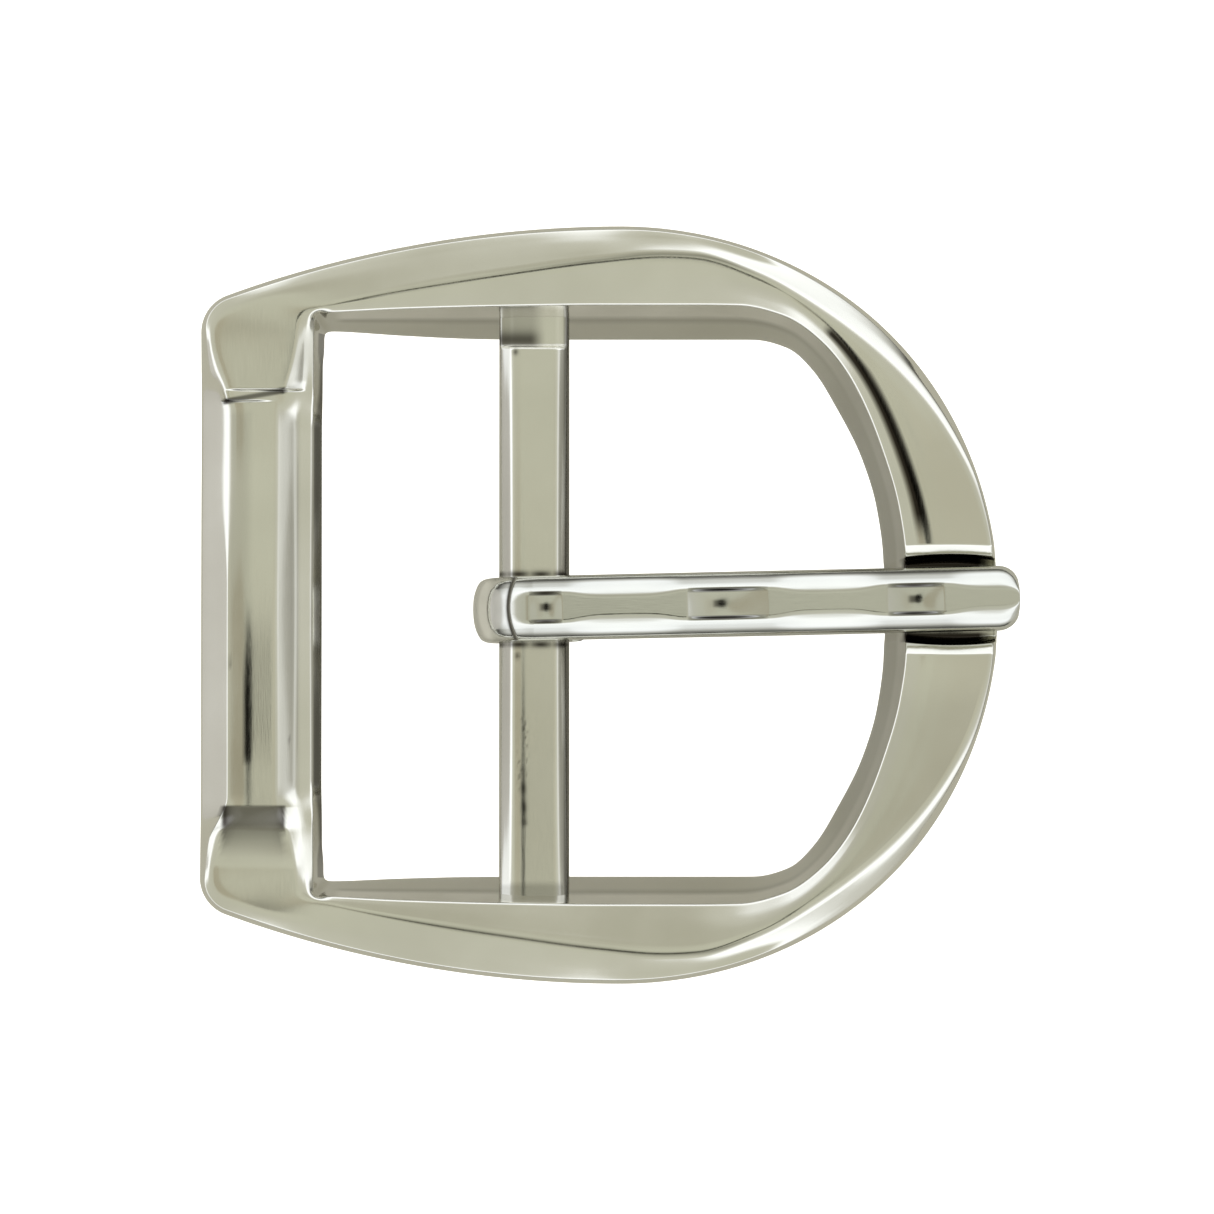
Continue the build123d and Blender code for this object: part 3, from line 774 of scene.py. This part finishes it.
def nickel(name, base, dark, roughness, polish_axis):
    """Polished nickel: soft colour drift, fine polishing marks, and edges brightened by use and
    by painted highlights.
    """
    material = bpy.data.materials.new(name)
    material.use_nodes = True
    tree = material.node_tree
    shader = tree.nodes["Principled BSDF"]
    shader.inputs["Metallic"].default_value = 1.0
    coordinates = tree.nodes.new("ShaderNodeTexCoord")

    def noise(scale, detail, stretch):
        mapping = tree.nodes.new("ShaderNodeMapping")
        mapping.inputs["Scale"].default_value = stretch
        tree.links.new(coordinates.outputs["Object"], mapping.inputs["Vector"])
        texture = tree.nodes.new("ShaderNodeTexNoise")
        texture.inputs["Scale"].default_value = scale
        texture.inputs["Detail"].default_value = detail
        tree.links.new(mapping.outputs["Vector"], texture.inputs["Vector"])
        return texture.outputs["Fac"]

    def painted(key):
        node = tree.nodes.new("ShaderNodeAttribute")
        node.attribute_name = key
        return node.outputs["Fac"]

    polish = [1.0, 1.0, 1.0]
    polish[polish_axis] = POLISH_STRETCH
    cloud = noise(CLOUD_SCALE, 3, (1, 1, 1))
    marks = noise(MARKS_SCALE, 2, tuple(polish))
    patches = noise(PATCH_SCALE, 3, (1, 1, 1))
    tint = mix_colours(tree, spread(tree, cloud, 0.3, 0.7, 0, 1), dark, base)
    # Edges brighten for use and for painted highlights.
    wear_and_sheen = combine(tree, "MULTIPLY", painted("edge"), spread(tree, patches, 0.3, 0.7, 0.55, 1.0))
    metal = mix_colours(tree, wear_and_sheen, tint, WORN_AND_SHEEN_COLOUR)
    # Painted shade: painted_shade darkens the metal towards near black.
    colour = mix_colours(tree, painted("painted_shade"), metal, PAINTED_SHADE_COLOUR)
    tree.links.new(colour, shader.inputs["Base Color"])
    drift = spread(tree, cloud, 0.3, 0.7, roughness * 0.75, roughness * 1.2)
    rough = combine(tree, "ADD", drift, spread(tree, marks, 0.3, 0.7, -0.02, 0.03))
    tree.links.new(rough, shader.inputs["Roughness"])
    bump = tree.nodes.new("ShaderNodeBump")
    bump.inputs["Strength"].default_value = 0.04
    bump.inputs["Distance"].default_value = 0.00002
    tree.links.new(marks, bump.inputs["Height"])
    tree.links.new(bump.outputs["Normal"], shader.inputs["Normal"])
    return material


# ---- pieces ------------------------------------------------------------------------
X_AXIS, Y_AXIS = 0, 1
nickel_materials = {
    "nickel_frame": nickel("frame_nickel", (0.67, 0.66, 0.59), (0.62, 0.61, 0.54), 0.13, Y_AXIS),
    "nickel_bar": nickel("bar_nickel", (0.66, 0.65, 0.58), (0.61, 0.60, 0.53), 0.15, Y_AXIS),
    "nickel_prong": nickel("prong_nickel", (0.60, 0.60, 0.545), (0.55, 0.55, 0.50), 0.12, X_AXIS)}
for make, node, body, slot in (
        (make_frame_piece, "frame", "buckle", "nickel_frame"),
        (make_bar_piece, "centre_bar", "buckle", "nickel_bar"),
        (make_prong_piece, "prong", "prong", "nickel_prong")):
    piece = make()
    piece.data.materials.append(nickel_materials[slot])
    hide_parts(node)
    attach(piece, body)

# ---- studio ------------------------------------------------------------------------
CAMERA_TILT = radians(2.2)             # towards the lower arm
LENS = (0, -sin(CAMERA_TILT), cos(CAMERA_TILT))
DARK_BODY = (0, -sin(radians(2.8)), cos(radians(2.8)))
# The tent's colour by the height of the direction: 0 at the horizon and below, 1 overhead.
SKY = [(0.0, (0.10, 0.10, 0.09)), (0.08, (0.12, 0.12, 0.11)), (0.26, (0.8, 0.81, 0.8)),
       (0.44, (1.5, 1.55, 1.65)), (0.72, (1.7, 1.75, 1.85)), (0.83, (0.80, 0.80, 0.72)),
       (0.93, (0.74, 0.745, 0.65)), (1.0, (0.76, 0.77, 0.65))]
# Soft panels: direction, degrees at full strength and at none, strength, colour.
PANELS = [((1, 0.0, 0.364), 16, 22, 0.92, (0.38, 0.375, 0.33)),
          ((1, 0.0, 1.0), 8, 18, 0.65, (0.72, 0.72, 0.66)),
          ((-1, 0.0, 0.0), 25, 32, 0.9, (0.80, 0.785, 0.765)),
          ((-0.175, 0.0, 0.985), 4.6, 6.6, 0.8, (0.53, 0.49, 0.37)),
          ((0.0, 0.36, 0.93), 4, 9, 0.7, (0.57, 0.56, 0.46)),
          ((0.2, 0.0, 0.98), 3, 9, 0.5, (0.64, 0.61, 0.49)),
          ((0.68, -0.68, 0.26), 15, 22, 0.85, (0.75, 0.75, 0.70)),
          (DARK_BODY, 3.1, 4.4, 1.0, (0.012, 0.012, 0.01))]
FLOOR_HALF = 1.5                # metres
FLOOR_GAP = 9.0                 # the buckle hangs this far above the paper
scene = bpy.context.scene
scene.view_settings.view_transform = "Standard"

floor_mesh = bpy.data.meshes.new("floor")
floor_z = (BACK_Z - FLOOR_GAP) * MM
corners = [(-1, -1), (1, -1), (1, 1), (-1, 1)]
floor_mesh.from_pydata([(a * FLOOR_HALF, b * FLOOR_HALF, floor_z) for a, b in corners],
                       [], [(0, 1, 2, 3)])
floor = bpy.data.objects.new("floor", floor_mesh)
scene.collection.objects.link(floor)
# The camera sees the paper as white, and the nickel reflects it as a pale warm grey.
paper = bpy.data.materials.new("paper")
paper.use_nodes = True
paper_tree = paper.node_tree
paper_shader = paper_tree.nodes["Principled BSDF"]
paper_shader.inputs["Base Color"].default_value = (0.60, 0.575, 0.50, 1)
paper_shader.inputs["Roughness"].default_value = 0.9
paper_shader.inputs["Emission Color"].default_value = (1, 1, 1, 1)
seen = paper_tree.nodes.new("ShaderNodeLightPath")
paper_tree.links.new(seen.outputs["Is Camera Ray"], paper_shader.inputs["Emission Strength"])
# From below the floor is clear, so that the underside can be looked at.
side_seen = paper_tree.nodes.new("ShaderNodeNewGeometry")
facing_up = combine(paper_tree, "SUBTRACT", 1.0, side_seen.outputs["Backfacing"])
paper_tree.links.new(facing_up, paper_shader.inputs["Alpha"])
floor_mesh.materials.append(paper)

# The sky is a soft tent: olive grey overhead, white walls lower down and a dark horizon, with
# greyer panels towards +X and -X and a small dark body overhead that gives black accents.
world = bpy.data.worlds.new("tent")
scene.world = world
world.use_nodes = True
sky = world.node_tree
sky_position = sky.nodes.new("ShaderNodeTexCoord")
sky_split = sky.nodes.new("ShaderNodeSeparateXYZ")
sky.links.new(sky_position.outputs["Generated"], sky_split.inputs[0])
ramp = sky.nodes.new("ShaderNodeValToRGB")
elements = ramp.color_ramp.elements
elements[0].position, elements[1].position = SKY[0][0], SKY[-1][0]
for position, _ in SKY[1:-1]:
    elements.new(position)
for element, (_, colour) in zip(elements, SKY):
    element.color = (*colour, 1)
sky.links.new(sky_split.outputs["Z"], ramp.inputs["Fac"])
sky_colour = ramp.outputs["Color"]
for direction, full, reach, strength, colour in PANELS:
    facing = sky.nodes.new("ShaderNodeVectorMath")
    facing.operation = "DOT_PRODUCT"
    sky.links.new(sky_position.outputs["Generated"], facing.inputs[0])
    facing.inputs[1].default_value = Vector(direction).normalized()
    fade = spread(sky, facing.outputs["Value"], cos(radians(reach)), cos(radians(full)),
                  0, strength, "SMOOTHSTEP")
    sky_colour = mix_colours(sky, fade, sky_colour, colour)
sky.links.new(sky_colour, sky.nodes["Background"].inputs["Color"])

# ---- camera ------------------------------------------------------------------------
CAMERA_DISTANCE = 0.42
VIEW_WIDTH = 80.9 * MM                 # across the picture, at the object
SENSOR = 36.0
target = Vector((4.87, -0.18, 2.0)) * MM
camera_data = bpy.data.cameras.new("camera")
camera_data.sensor_width = SENSOR
camera_data.lens = SENSOR * CAMERA_DISTANCE / VIEW_WIDTH
camera_data.clip_start = 0.01
camera = bpy.data.objects.new("camera", camera_data)
scene.collection.objects.link(camera)
camera.location = target + CAMERA_DISTANCE * Vector(LENS)
camera.rotation_euler = (CAMERA_TILT, 0, 0)
scene.camera = camera
